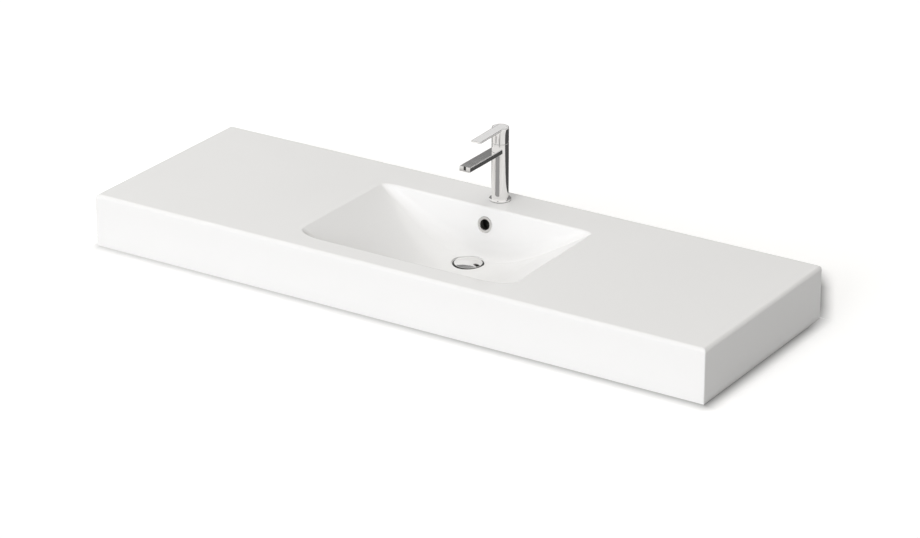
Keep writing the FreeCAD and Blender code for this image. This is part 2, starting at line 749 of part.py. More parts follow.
def spindle_carrier():
    low = DECK + CASE_FLOOR + FIXED_DISC + DISC_GAP + MOVING_DISC
    top = DECK + CARRIER_TOP
    boss_top = DECK + CARRIER_BOSS_TOP
    plate = vertical(MOVING_DISC_R, low, top, 0, TAP_Y + MOVING_DISC_Y)
    boss = block(-CARRIER_BOSS_HALF, CARRIER_BOSS_HALF, TAP_Y - CARRIER_BOSS_LONG, TAP_Y + CARRIER_BOSS_LONG,
                 top, boss_top)
    gap = BALL_R + BALL_GAP
    slot = block(-SPINDLE_HALF - EPS, SPINDLE_HALF + EPS, TAP_Y - gap, TAP_Y + gap,
                 DECK + PIVOT - LEVER_ARM - BALL_R - BALL_BELOW, boss_top + EPS)
    return plate.fuse(boss).cut(slot)


def cartridge_turret():
    low, shelf = DECK + TURRET_LOW, DECK + CASE_SHOULDER - CASE_LIP - FIT
    top = DECK + EAR_TOP
    turret = vertical(TURRET_R, low, shelf, 0, TAP_Y).fuse(vertical(TURRET_NECK_R, shelf, top, 0, TAP_Y))
    turret = turret.cut(block(-TURRET_SLOT_HALF, TURRET_SLOT_HALF, TAP_Y - TURRET_SLOT_LONG,
                              TAP_Y + TURRET_SLOT_LONG, low - EPS, top + EPS))
    return turret.cut(cross_pin(PIN_R, 2 * PIN_HALF))


def cross_pin(radius, half):
    """Cylinder along X through the lever's pivot."""
    return Part.makeCylinder(radius, 2 * half, Vec(-half, TAP_Y, DECK + PIVOT), Vec(1, 0, 0))


def pivot_pin():
    return cross_pin(PIN_R, PIN_HALF)


def spindle():
    ball_z = DECK + PIVOT - LEVER_ARM
    ball = Part.makeCylinder(BALL_R, 2 * BALL_HALF, Vec(-BALL_HALF, TAP_Y, ball_z), Vec(1, 0, 0))
    shank = block(-BALL_HALF, BALL_HALF, TAP_Y - SPINDLE_SHANK, TAP_Y + SPINDLE_SHANK, ball_z, DECK + PIVOT)
    eye = cross_pin(EYE_R, SPINDLE_HALF)
    stem = block(-SPINDLE_HALF, SPINDLE_HALF, TAP_Y - SPINDLE_HALF, TAP_Y + SPINDLE_HALF,
                 DECK + PIVOT, DECK + SPINDLE_TOP)
    return ball.fuse([shank, eye, stem]).cut(cross_pin(PIN_R + PIN_GAP, PIN_HALF))


def cartridge_nut():
    low, top = DECK + NUT_LOW, DECK + NUT_TOP
    thread_top = DECK + SEAM - NUT_SUNK
    nut = vertical(CHAMBER_R - FIT, low, thread_top, 0, TAP_Y)
    nut = nut.fuse(hex_nut(NUT_COLLAR_R, NUT_BORE_R, thread_top, top, 0, TAP_Y))
    return nut.cut(vertical(NUT_BORE_R, low - EPS, top + EPS, 0, TAP_Y))


def cover_ring():
    low = DECK + SEAM
    outline = [(COVER_BORE_R, low), (COVER_LIP_R, low), (COVER_LIP_R, low + COVER_LIP),
               (COVER_R, low + COVER_LIP), (COVER_R, DECK + COVER_TOP), (COVER_BORE_R, DECK + COVER_TOP)]
    return lathe(outline, TAP_Y)


# Lever handle

def blade():
    """Flat lever blade: a slightly falling bar with rounded tip corners."""
    back = TAP_Y + BLADE_BACK
    tip = TAP_Y - BLADE_REACH
    fall = BLADE_TOP - BLADE_TIP_TOP
    rise_at_back = fall * BLADE_BACK / BLADE_REACH
    outline = [(tip, DECK + BLADE_TIP_TOP), (back, DECK + BLADE_TOP + rise_at_back),
               (back, DECK + BLADE_TOP + rise_at_back - BLADE), (tip, DECK + BLADE_TIP_TOP - BLADE)]
    bar = side_prism(outline, BLADE_HALF)
    corners = [e for e in bar.Edges if all(abs(v.Point.y - tip) < NEAR for v in e.Vertexes)
               and abs(e.tangentAt(e.FirstParameter).z) > MOSTLY]
    return bar.makeFillet(BLADE_CORNER_R, corners)


def handle():
    low = DECK + HANDLE_LOW
    cap = vertical(COLUMN_R, low, DECK + HANDLE_TOP, 0, TAP_Y)
    top_edge = [e for e in cap.Edges if e.Closed and abs(e.CenterOfMass.z - DECK - HANDLE_TOP) < NEAR]
    cap = cap.makeFillet(HANDLE_EDGE_R, top_edge)
    cap = cap.cut(vertical(HANDLE_BORE_R, low - EPS, DECK + HANDLE_ROOF, 0, TAP_Y))
    cap = cap.fuse(vertical(SOCKET_R, DECK + SOCKET_LOW, DECK + HANDLE_ROOF + EPS, 0, TAP_Y))
    cap = cap.fuse(blade())
    socket_half = SPINDLE_HALF + FIT
    cap = cap.cut(block(-socket_half, socket_half, TAP_Y - socket_half, TAP_Y + socket_half,
                        DECK + SOCKET_LOW - EPS, DECK + SPINDLE_TOP + SOCKET_ABOVE))
    rear = 2 * COLUMN_R
    rise = rear * math.tan(REAR_CUT)
    cap = cap.cut(side_prism([(TAP_Y, low - EPS), (TAP_Y + rear, low - EPS), (TAP_Y + rear, low + rise),
                              (TAP_Y, low)], rear))
    hole_start = Vec(0, TAP_Y + SPINDLE_HALF, DECK + SCREW_UP)
    cap = cap.cut(Part.makeCylinder(SCREW_R, COLUMN_R, hole_start, Vec(0, 1, 0)))
    return cap.cut(Part.makeCylinder(PLUG_R, 2 * PLUG_LONG, plug_start(), Vec(0, 1, 0)))


def plug_start():
    """Middle of the plug's inner face, in the back of the handle."""
    return Vec(0, TAP_Y + COLUMN_R - PLUG_LONG - PLUG_SUNK, DECK + SCREW_UP)


def handle_set_screw():
    start = Vec(0, TAP_Y + SPINDLE_HALF, DECK + SCREW_UP)
    screw = Part.makeCylinder(SCREW_R, SCREW_LONG, start, Vec(0, 1, 0))
    socket = Part.makeCylinder(HEX_R, HEX_DEEP + EPS, start + Vec(0, SCREW_LONG - HEX_DEEP, 0), Vec(0, 1, 0))
    return screw.cut(socket)


def handle_plug():
    blank = Part.makeCylinder(PLUG_R - PLUG_GAP, 2 * PLUG_LONG, plug_start(), Vec(0, 1, 0))
    return blank.common(vertical(COLUMN_R, DECK + SEAM, DECK + HANDLE_TOP, 0, TAP_Y))


# Tap fixings

def clamp_shape(low, high):
    """Horseshoe that goes round the hoses, with a closed hole for the stud at the back."""
    plate = vertical(PLATE_R, low, high, 0, TAP_Y)
    mouth = vertical(PLATE_SLOT_HALF, low - EPS, high + EPS, 0, TAP_Y - PORT_FORWARD)
    front = block(-PLATE_SLOT_HALF, PLATE_SLOT_HALF, TAP_Y - 2 * PLATE_R, TAP_Y - PORT_FORWARD,
                  low - EPS, high + EPS)
    bridge = block(-BRIDGE_HALF, BRIDGE_HALF, TAP_Y + STUD_BACK - BRIDGE_FRONT, TAP_Y + PLATE_R - BRIDGE_IN,
                   low, high)
    plate = plate.cut(mouth).cut(front).fuse(bridge)
    return plate.cut(vertical(STUD_R + PLATE_STUD_GAP, low - EPS, high + EPS, 0, TAP_Y + STUD_BACK))


def fixing_stud():
    return vertical(STUD_R, DECK - STUD_END, tap_foot() + STUD_HOLE, 0, TAP_Y + STUD_BACK)


def fixing_rubber():
    top = DECK - WALL
    return clamp_shape(top - RUBBER, top)


def fixing_plate():
    top = DECK - WALL - RUBBER
    return clamp_shape(top - PLATE, top)


def fixing_nut():
    top = DECK - WALL - RUBBER - PLATE
    return hex_nut(FIX_NUT_R, STUD_R, top - FIX_NUT, top, 0, TAP_Y + STUD_BACK)


PARTS = (basin_body, overflow_ring, waste_gasket, waste_body, waste_cone_seal, waste_slip_washer, waste_nut,
         waste_cap, cap_seal, plunger, click_barrel, click_spring, base_seal, base_ring, tap_body,
         aerator_housing, aerator_insert, aerator_seal, cartridge_housing, cartridge_base_seals,
         cartridge_oring, fixed_disc, moving_disc, spindle_carrier, cartridge_turret, pivot_pin, spindle,
         cartridge_nut, cover_ring, handle, handle_set_screw, handle_plug, fixing_stud, fixing_rubber,
         fixing_plate, fixing_nut)

os.makedirs("parts", exist_ok=True)
for make in PARTS:
    shape = make()
    shape.exportStep("parts/" + make.__name__ + ".step")
    box = shape.BoundBox
    print(make.__name__, len(shape.Solids), shape.isValid(), "%.0f mm3" % shape.Volume,
          "z %.1f to %.1f" % (box.ZMin, box.ZMax))
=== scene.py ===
"""Wide wall-hung washbasin with a chrome mixer tap and a push waste: finishes, finer pieces and stage."""
import math

import bpy
import numpy as np
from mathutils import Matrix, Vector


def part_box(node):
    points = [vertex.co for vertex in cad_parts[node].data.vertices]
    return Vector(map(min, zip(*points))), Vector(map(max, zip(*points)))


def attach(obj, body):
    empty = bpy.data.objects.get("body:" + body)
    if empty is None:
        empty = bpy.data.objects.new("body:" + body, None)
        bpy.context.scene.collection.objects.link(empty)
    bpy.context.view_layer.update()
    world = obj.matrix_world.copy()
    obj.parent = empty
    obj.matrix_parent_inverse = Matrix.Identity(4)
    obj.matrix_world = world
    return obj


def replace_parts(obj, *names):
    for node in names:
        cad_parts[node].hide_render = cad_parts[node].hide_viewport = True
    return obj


bl_info = {
    "name": "Washbasin finish",
    "version": (1, 0, 0),
    "blender": (4, 5, 0),
    "location": "View3D > Sidebar > Washbasin",
    "description": "Dresses the washbasin's construction with glaze, chrome and a pale studio",
    "category": "Object",
}


def middle(box, axis):
    """Middle of a box along one axis, counted from 0."""
    low, high = box
    return (low[axis] + high[axis]) / 2


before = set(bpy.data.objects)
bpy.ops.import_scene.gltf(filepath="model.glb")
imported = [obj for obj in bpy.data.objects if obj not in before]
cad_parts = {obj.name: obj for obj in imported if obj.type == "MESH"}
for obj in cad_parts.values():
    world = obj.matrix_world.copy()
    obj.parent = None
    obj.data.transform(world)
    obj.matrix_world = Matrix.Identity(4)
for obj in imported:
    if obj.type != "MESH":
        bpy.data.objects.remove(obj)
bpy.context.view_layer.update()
MM = 0.001

# The slab runs along X, with its back on the wall line Y = 0, its front at minus Y and its deck on top
BASIN_LOW, BASIN_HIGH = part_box("basin_body")
HALF_LENGTH = 0.700
DEPTH = 0.465
HEIGHT = 0.110
DECK = BASIN_HIGH.z
FOOT = DECK - HEIGHT
BOWL_FLOOR = DECK - 0.097
TAP_Y = middle(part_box("base_ring"), 1)
WASTE_Y = middle(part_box("waste_cap"), 1)

# Finishes: tint, tint in the clouds, lowest and highest roughness, metallic, cloud scale, ripple scale, bump
FINISHES = {
    "Chrome": ((0.88, 0.87, 0.86), (0.85, 0.84, 0.83), (0.03, 0.07), 1.0, 30.0, 400.0, 0.0),
    "Black rubber": ((0.03, 0.03, 0.03), (0.02, 0.02, 0.02), (0.60, 0.80), 0.0, 80.0, 900.0, 0.2),
    "Zinc steel": ((0.55, 0.56, 0.57), (0.48, 0.49, 0.50), (0.25, 0.40), 1.0, 90.0, 900.0, 0.1),
    "Turned brass": ((0.72, 0.52, 0.22), (0.62, 0.43, 0.17), (0.18, 0.32), 1.0, 90.0, 900.0, 0.1),
    "White plastic": ((0.78, 0.78, 0.76), (0.74, 0.74, 0.72), (0.40, 0.50), 0.0, 60.0, 700.0, 0.1),
    "Grey plastic": ((0.45, 0.46, 0.48), (0.42, 0.43, 0.45), (0.25, 0.35), 0.0, 60.0, 700.0, 0.1),
    "Lapped ceramic": ((0.82, 0.79, 0.70), (0.79, 0.76, 0.68), (0.15, 0.30), 0.0, 60.0, 700.0, 0.0),
}
BUMP_DEPTH = 0.0001

# CAD nodes of the fittings: finish, slot and nodes
FITTINGS = (
    ("Chrome", "chrome", ("overflow_ring", "waste_body", "waste_nut", "base_ring", "tap_body",
                          "aerator_housing", "cover_ring", "handle", "waste_cap")),
    ("Black rubber", "black_rubber", ("waste_gasket", "waste_cone_seal", "base_seal", "aerator_seal",
                                      "cartridge_base_seals", "cartridge_oring", "fixing_rubber",
                                      "cap_seal")),
    ("Zinc steel", "steel", ("click_spring", "fixing_stud", "fixing_plate", "pivot_pin",
                             "handle_set_screw")),
    ("Turned brass", "brass", ("cartridge_nut", "fixing_nut", "spindle", "plunger")),
    ("White plastic", "white_plastic", ("waste_slip_washer", "click_barrel", "aerator_insert",
                                        "cartridge_housing", "cartridge_turret", "spindle_carrier")),
    ("Grey plastic", "grey_plastic", ("handle_plug",)),
    ("Lapped ceramic", "disc_ceramic", ("fixed_disc", "moving_disc")),
)

# Glaze: clouds a little darker than its tint, a glassy index, and painted shade on faces that look up and
# forward
GLAZE_CLOUD = 0.985
GLAZE_INDEX = 1.6
PAINTED_EDGE_SHADE = 0.06
# Box round the passage behind the overflow, the painted shade that darkens it, and its bare roughness
PASSAGE = ((-0.0190, -0.0975, -0.2), (0.0190, -0.0650, DECK - 0.012))
PASSAGE_SHADE_COLOUR = (0.05, 0.05, 0.045, 1.0)
BARE_ROUGHNESS = (0.9, 0.9, 0.9, 1.0)

# Lever handle, in millimetres over the deck: lower edge, roof of the hollow, crown at the back, and a height
# that only the top's points pass. The hollow's radius follows.
LEVER_FOOT = 123.2
LEVER_ROOF = 149.5
LEVER_CROWN = 156.1
LEVER_TOP_FROM = 152.0
LEVER_HOLLOW = 14.4
# Slope of the lever's top down towards its tip, and of the lower edge up behind the axis
LEVER_FALL = 0.022
LEVER_CUT = math.tan(math.radians(24.0))
# Blade, in metres: where it starts inside the cap, its thickness there, and the corner radius of its tip
BLADE_ROOT = -0.0125
BLADE_THICK = 0.0046
TIP_CORNER = 0.0022

# Column sleeve, in millimetres: inner radius, lower and upper edge over the deck
SLEEVE_INNER = 16.2
SLEEVE_FOOT = 3.4
SLEEVE_TOP = 122.7
# Black plate of painted shade for the spout's outlet, in metres: width, height, corner radius, its top edge
# over the deck
SLOT_WIDTH = 0.0056
SLOT_HEIGHT = 0.0076
SLOT_CORNER = 0.0015
SLOT_TOP = 0.1136

# Waste cap, in millimetres over the bowl's floor: lower edge and dome's edge, then the share of its radius at
# which the dome meets the rolled edge, and the seat's outer radius
CAP_FOOT = -1.1
CAP_EDGE = 2.1
DOME_SHARE = 0.97
SEAT_RADIUS = 34.4

# Overflow ring: the back wall's place at the deck, its lean per metre down, and the ring's depth below the
# deck
BACK_WALL = -0.0985
WALL_LEAN = 0.16
RING_DROP = 0.0351

# Lamps: name, strength, degrees from overhead, degrees round from the front, width in degrees, warm or not
LAMPS = (
    ("overhead_lamp", 1.12, 10.0, 180.0, 80.0, True),
    ("high_front_lamp", 0.47, 25.0, 0.0, 30.0, True),
    ("front_lamp", 0.70, 52.0, -18.0, 45.0, True),
    ("low_front_lamp", 1.30, 74.0, -3.0, 30.0, False),
)
COOL_TINT = (0.96, 0.97, 1.0)
# Square light panel at the left: power, place, the point that it faces, and its side
PANEL_POWER = 4.9
PANEL_PLACE = (-1.6, -0.2, 1.6)
PANEL_AIM = (0.0, -0.2, 0.0)
PANEL_SIDE = 1.2

# Grey cards behind and beside the basin and over the bowl, for reflections alone: name, x range and (y, z) of
# the first edge, x range and (y, z) of the second edge, grey level
CARD_BACK = 2.5
CARD_FOOT = FOOT + 0.002
CARD_IN_BOWL = DECK - 0.012
CARDS = (
    ("floor_card", (-1.5, 0.33), (0.020, CARD_FOOT), (-1.5, 0.33), (CARD_BACK, CARD_FOOT), 0.08),
    ("right_card", (0.33, 0.66), (0.020, CARD_FOOT), (0.33, 0.66), (0.600, CARD_FOOT), 0.08),
    ("side_card", (0.702, 0.950), (-0.470, CARD_FOOT), (0.702, 0.950), (0.300, CARD_FOOT), 0.72),
    ("bowl_card", (-0.034, 0.022), (-0.104, CARD_IN_BOWL), (-0.215, 0.150), (-0.402, CARD_IN_BOWL), 0.34),
    ("low_card", (-5.0, 2.0), (CARD_BACK, CARD_FOOT), (-5.0, 2.0), (CARD_BACK, 1.440), 0.24),
    ("left_card", (-5.0, -1.80), (CARD_BACK, 1.440), (-5.0, -1.80), (CARD_BACK, 1.620), 0.24),
    ("near_card", (-1.42, 2.0), (CARD_BACK, 1.440), (-1.42, 2.0), (CARD_BACK, 1.620), 0.24),
    ("window_card", (-1.80, -1.42), (CARD_BACK, 1.440), (-1.80, -1.42), (CARD_BACK, 1.950), 0.82),
    ("high_card", (-5.0, 5.0), (CARD_BACK, 1.950), (-5.0, 5.0), (CARD_BACK, 9.0), 0.28),
)

# Floor: half its span, how far its opening lies inside the slab's outline, its grey, and the light added
# where it is seen
FLOOR_SPAN = 40.0
FLOOR_INSET = 0.008
FLOOR_GREY = 0.70
FLOOR_LIFT = 0.36
# Shade close to the slab: power of its fall, reach, depth in front of the slab's middle, gain in depth for
# each metre to the right, and the depth added beside the end
SHADE_POWER = 1.5
SHADE_REACH = 0.036
SHADE_DEPTH = 0.52
SHADE_GAIN = 0.15
SHADE_AT_END = 0.15
# That shade near the wall line: its share there and how fast it grows to the whole per metre forward. At the
# left it starts from nothing at one x and is whole after a short way.
SHADE_AT_WALL = 0.55
SHADE_GROWTH = 7.5
SHADE_LEFT = -0.712
SHADE_LEFT_WAY = 0.022
# Shade on the wall line beside the right end: depth, reach, the clear strip under the deck, the height over
# which it grows below that, the height over which it eases near the floor, and the shares of that easing
END_DEPTH = 0.62
END_REACH = 0.032
END_CLEAR = 0.003
END_GROWTH = 0.042
END_LOW = 0.025
END_LOW_SHARES = (0.7, 0.3)
# Its piece starts inside the slab's end, stops past the reach and lies just behind the wall line
END_START = -0.004
END_STOP = 0.034
END_BEHIND = 0.0005


# Shader helpers

def feed(tree, socket, value):
    """Gives a node's input a plain value, or links it to another node's output."""
    if isinstance(value, bpy.types.NodeSocket):
        tree.links.new(value, socket)
    else:
        socket.default_value = value


def maths(tree, operation, *values):
    """Output of a new Math node, each input given as a socket or a number."""
    node = tree.nodes.new("ShaderNodeMath")
    node.operation = operation
    for socket, value in zip(node.inputs, values):
        feed(tree, socket, value)
    return node.outputs[0]


def product(tree, first, *others):
    """Socket of the product of some sockets or numbers."""
    for other in others:
        first = maths(tree, "MULTIPLY", first, other)
    return first


def clamped(tree, value):
    """Socket of a value held between 0 and 1."""
    return maths(tree, "MINIMUM", maths(tree, "MAXIMUM", value, 0.0), 1.0)


def fading(tree, distance, reach):
    """Socket of (1 - distance / reach) ^ 1.5, which is 0 past the reach."""
    near = maths(tree, "SUBTRACT", 1.0, maths(tree, "DIVIDE", distance, reach))
    return maths(tree, "POWER", maths(tree, "MAXIMUM", near, 0.0), SHADE_POWER)


def object_place(tree):
    """X, Y and Z of the object coordinates, as the outputs of one node."""
    place = tree.nodes.new("ShaderNodeTexCoord")
    split = tree.nodes.new("ShaderNodeSeparateXYZ")
    tree.links.new(place.outputs["Object"], split.inputs[0])
    return split.outputs


def within(tree, low, high):
    """Socket that is 1 where the object coordinates lie inside a box, and 0 outside."""
    place = object_place(tree)
    tests = [maths(tree, "COMPARE", place[axis], (low_end + high_end) / 2, (high_end - low_end) / 2)
             for axis, low_end, high_end in zip("XYZ", low, high)]
    return product(tree, *tests)


def seen_directly(tree):
    """Socket that is 1 for camera, mirror and glass rays and 0 for the rays that carry light."""
    rays = tree.nodes.new("ShaderNodeLightPath")
    mirrored = maths(tree, "MAXIMUM", rays.outputs["Is Camera Ray"], rays.outputs["Is Glossy Ray"])
    return maths(tree, "MAXIMUM", mirrored, rays.outputs["Is Transmission Ray"])


def mix_into(tree, socket, value, share=1.0, blend="MIX"):
    """Mixes a colour or another socket, by a share, into what already feeds a shader's input."""
    mix = tree.nodes.new("ShaderNodeMix")
    mix.data_type = "RGBA"
    mix.blend_type = blend
    before = socket.links[0].from_socket
    for label, part in (("Factor", share), ("A", before), ("B", value)):
        feed(tree, mix.inputs[label], part)
    tree.links.new(mix.outputs["Result"], socket)


def bare_material(name):
    """Node material with nothing but its output, and that output's surface input."""
    material = bpy.data.materials.new(name)
    material.use_nodes = True
    tree = material.node_tree
    tree.nodes.clear()
    output = tree.nodes.new("ShaderNodeOutputMaterial")
    return material, tree, output.inputs["Surface"]


def new_material(name):
    """Node material with its output and one Principled shader."""
    material, tree, surface = bare_material(name)
    shader = tree.nodes.new("ShaderNodeBsdfPrincipled")
    tree.links.new(shader.outputs["BSDF"], surface)
    return material, tree, shader


def take_gloss(shader):
    """Leaves a Principled shader plain and matte."""
    shader.inputs["Roughness"].default_value = 1.0
    shader.inputs["Specular IOR Level"].default_value = 0.0


def mottle_group():
    """Node group: soft cloudy variation and fine ripple, from object coordinates."""
    name = "Surface variation"
    if name in bpy.data.node_groups:
        return bpy.data.node_groups[name]
    group = bpy.data.node_groups.new(name, "ShaderNodeTree")
    face = group.interface
    for label, value in (("Cloud scale", 6.0), ("Ripple scale", 60.0), ("Low", 0.0), ("High", 1.0)):
        socket = face.new_socket(name=label, in_out="INPUT", socket_type="NodeSocketFloat")
        socket.default_value = value
    for label in ("Tint", "Tint low"):
        face.new_socket(name=label, in_out="INPUT", socket_type="NodeSocketColor")
    face.new_socket(name="Color", in_out="OUTPUT", socket_type="NodeSocketColor")
    face.new_socket(name="Roughness", in_out="OUTPUT", socket_type="NodeSocketFloat")
    face.new_socket(name="Height", in_out="OUTPUT", socket_type="NodeSocketFloat")
    nodes, links = group.nodes, group.links
    given = nodes.new("NodeGroupInput")
    result = nodes.new("NodeGroupOutput")
    place = nodes.new("ShaderNodeTexCoord")
    cloud = nodes.new("ShaderNodeTexNoise")
    cloud.inputs["Detail"].default_value = 3.0
    ripple = nodes.new("ShaderNodeTexNoise")
    ripple.inputs["Detail"].default_value = 2.0
    for noise, label in ((cloud, "Cloud scale"), (ripple, "Ripple scale")):
        links.new(place.outputs["Object"], noise.inputs["Vector"])
        links.new(given.outputs[label], noise.inputs["Scale"])
    blend = nodes.new("ShaderNodeMix")
    blend.data_type = "RGBA"
    links.new(cloud.outputs["Fac"], blend.inputs["Factor"])
    links.new(given.outputs["Tint low"], blend.inputs["A"])
    links.new(given.outputs["Tint"], blend.inputs["B"])
    # Nearly all of the noise lies between these two values, which become the lowest and highest roughness
    spread = nodes.new("ShaderNodeMapRange")
    links.new(cloud.outputs["Fac"], spread.inputs["Value"])
    spread.inputs["From Min"].default_value = 0.3
    spread.inputs["From Max"].default_value = 0.7
    links.new(given.outputs["Low"], spread.inputs["To Min"])
    links.new(given.outputs["High"], spread.inputs["To Max"])
    links.new(blend.outputs["Result"], result.inputs["Color"])
    links.new(spread.outputs["Result"], result.inputs["Roughness"])
    links.new(ripple.outputs["Fac"], result.inputs["Height"])
    return group


def varied(name, tint, low_tint, rough, metallic=0.0, cloud=6.0, ripple=60.0, bump=0.0):
    """Material whose colour, roughness and height drift a little over the surface."""
    material, tree, shader = new_material(name)
    group = tree.nodes.new("ShaderNodeGroup")
    group.node_tree = mottle_group()
    for label, value in (("Cloud scale", cloud), ("Ripple scale", ripple), ("Low", rough[0]),
                         ("High", rough[1]), ("Tint", (*tint, 1.0)), ("Tint low", (*low_tint, 1.0))):
        group.inputs[label].default_value = value
    tree.links.new(group.outputs["Color"], shader.inputs["Base Color"])
    tree.links.new(group.outputs["Roughness"], shader.inputs["Roughness"])
    if bump:
        bumps = tree.nodes.new("ShaderNodeBump")
        bumps.inputs["Strength"].default_value = bump
        bumps.inputs["Distance"].default_value = BUMP_DEPTH
        tree.links.new(group.outputs["Height"], bumps.inputs["Height"])
        tree.links.new(bumps.outputs["Normal"], shader.inputs["Normal"])
    shader.inputs["Metallic"].default_value = metallic
    return material, tree, shader


def finish(name):
    """Material of a listed finish, made once."""
    if name in bpy.data.materials:
        return bpy.data.materials[name]
    return varied(name, *FINISHES[name])[0]


def dress(node, material):
    """Gives a CAD node its finish."""
    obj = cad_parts[node]
    obj.data.materials.clear()
    obj.data.materials.append(material)


# Surfaces worked out on a grid

def grid_piece(name, points, material, body, poles=True):
    """Piece made of a grid of points, joined round in the columns.

    Row i, column j meets row i + 1 and column j + 1, the last column meets the first, and each cell is one
    face. With poles the first and last rows shrink to their middle points, which close the ends. Without
    poles the last row meets the first, as in a ring.
    """
    rows, columns = points.shape[:2]
    here = np.arange(columns)[None]
    after = (here + 1) % columns
    if poles:
        first_pole, last_pole = points[0].mean(0)[None], points[-1].mean(0)[None]
        places = np.vstack([first_pole, points[1:-1].reshape(-1, 3), last_pole])
        low = 1 + np.arange(rows - 3)[:, None] * columns
        high = low + columns
        last = 1 + (rows - 3) * columns
        fans = np.stack([np.zeros(columns, int), 1 + after[0], 1 + here[0]], -1).tolist()
        fans += np.stack([last + here[0], last + after[0], np.full(columns, len(places) - 1)], -1).tolist()
    else:
        places = points.reshape(-1, 3)
        low = np.arange(rows)[:, None] * columns
        high = (low + columns) % (rows * columns)
        fans = []
    quads = np.stack([low + here, low + after, high + after, high + here], -1).reshape(-1, 4)
    mesh = bpy.data.meshes.new(name)
    mesh.from_pydata(places.tolist(), [], quads.tolist() + fans)
    mesh.shade_smooth()
    mesh.set_sharp_from_angle(angle=math.radians(35.0))
    mesh.materials.append(material)
    obj = bpy.data.objects.new(name, mesh)
    bpy.context.scene.collection.objects.link(obj)
    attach(obj, body)
    return obj


def eased(corners, radii, steps=6):
    """Open line of corners, in millimetres, with each inner corner rounded.

    A corner gives way to the curve start (1 - t)^2 + 2 corner t (1 - t) + end t^2, whose start and end lie
    one radius away along its two sides, or at most 0.4 of a side. A point a little further out on each side,
    at 1.15 times that distance, keeps the flats flat.
    """
    side_share, flat_share = 0.4, 1.15
    line = np.asarray(corners, float)
    t = np.linspace(0.0, 1.0, steps + 1)[:, None]
    parts = [line[:1]]
    for before, corner, after, radius in zip(line[:-2], line[1:-1], line[2:], radii):
        back, ahead = before - corner, after - corner
        back_long, ahead_long = np.linalg.norm(back), np.linalg.norm(ahead)
        back = back / back_long * min(radius, side_share * back_long)
        ahead = ahead / ahead_long * min(radius, side_share * ahead_long)
        curve = (corner + back) * (1 - t) ** 2 + 2 * corner * t * (1 - t) + (corner + ahead) * t ** 2
        parts += [(corner + flat_share * back)[None], curve, (corner + flat_share * ahead)[None]]
    parts.append(line[-1:])
    return np.vstack(parts)


def ring_outline(inner, outer, low, high, seam, gap, radii):
    """Rounded rectangle between two radii and two heights, from the seam down the inner wall and back.

    It stops a gap over the seam, where a ring's last row meets its first.
    """
    return eased([(inner, seam), (inner, low), (outer, low), (outer, high), (inner, high),
                  (inner, seam + gap)], radii)


def turned(outline, centre, axis=(0.0, 0.0, 1.0), sides=96):
    """Outline of (radius, height) pairs, in millimetres, turned round an axis through a centre.

    Point = centre + axis * height + radius * (across * cos a + up * sin a), for angles a all the way round.
    """
    axis = np.asarray(axis, float) / np.linalg.norm(axis)
    aside = (0.0, 1.0, 0.0) if abs(axis[1]) < 0.9 else (0.0, 0.0, 1.0)
    across = np.cross(aside, axis)
    across /= np.linalg.norm(across)
    up = np.cross(axis, across)
    a = np.linspace(0.0, 2 * math.pi, sides, endpoint=False)[None, :, None]
    radius, height = MM * outline[:, 0, None, None], MM * outline[:, 1, None, None]
    return np.asarray(centre, float) + axis * height + radius * (across * np.cos(a) + up * np.sin(a))


def bar(widths, heights, radii, y, middle_z, steps=5):
    """Bar of rounded rectangles along Y, in metres, with a pole at each end.

    Each section's corner is its inner corner plus radius * (cos a, sin a), a through 90 degrees, and the four
    corners are that one mirrored. A point a quarter radius beyond each end of the arc keeps the sides flat.
    """
    beyond = -0.25
    a = np.linspace(0.0, math.pi / 2, steps + 1)
    quarter = np.vstack([[1.0, beyond], np.stack([np.cos(a), np.sin(a)], -1), [beyond, 1.0]])
    inner = np.stack([widths / 2 - radii, heights / 2 - radii], -1)[:, None]
    corner = inner + quarter[None] * radii[:, None, None]
    back = corner[:, ::-1]
    section = np.concatenate([corner, back * (-1, 1), corner * (-1, -1), back * (1, -1)], 1)
    points = np.stack([section[..., 0], np.broadcast_to(y[:, None], section.shape[:2]),
                       section[..., 1] + middle_z[:, None]], -1)
    return np.concatenate([points[:1], points, points[-1:]])


# Settings

class StageSettings(bpy.types.PropertyGroup):
    """The camera, the lamps and the floor."""
    azimuth: bpy.props.FloatProperty(name="Azimuth", description="Camera angle round the basin",
                                     default=math.radians(32.577), subtype="ANGLE")
    elevation: bpy.props.FloatProperty(name="Elevation", description="Camera angle above the horizon",
                                       default=math.radians(23.175), subtype="ANGLE")
    distance: bpy.props.FloatProperty(name="Distance", description="Camera to its aim point",
                                      default=7.1367, unit="LENGTH")
    lens: bpy.props.FloatProperty(name="Lens", description="Focal length in millimetres", default=138.6)
    aim: bpy.props.FloatVectorProperty(name="Aim", description="Point at the middle of the picture",
                                       default=(-0.0564, -0.1087, -0.0880), subtype="TRANSLATION")
    level: bpy.props.FloatProperty(name="Lamp level", description="Scales all the lamps",
                                   default=1.03, min=0.0)
    fill: bpy.props.FloatProperty(name="Fill", description="Strength of the even light",
                                  default=0.20, min=0.0)
    warm: bpy.props.FloatVectorProperty(name="Warm tint", description="Colour of the overhead light",
                                        subtype="COLOR", default=(1.0, 0.985, 0.955))


class GlazeSettings(bpy.types.PropertyGroup):
    """The white glaze."""
    tint: bpy.props.FloatVectorProperty(name="Glaze", description="Colour of the glaze", subtype="COLOR",
                                        default=(0.82, 0.82, 0.82))


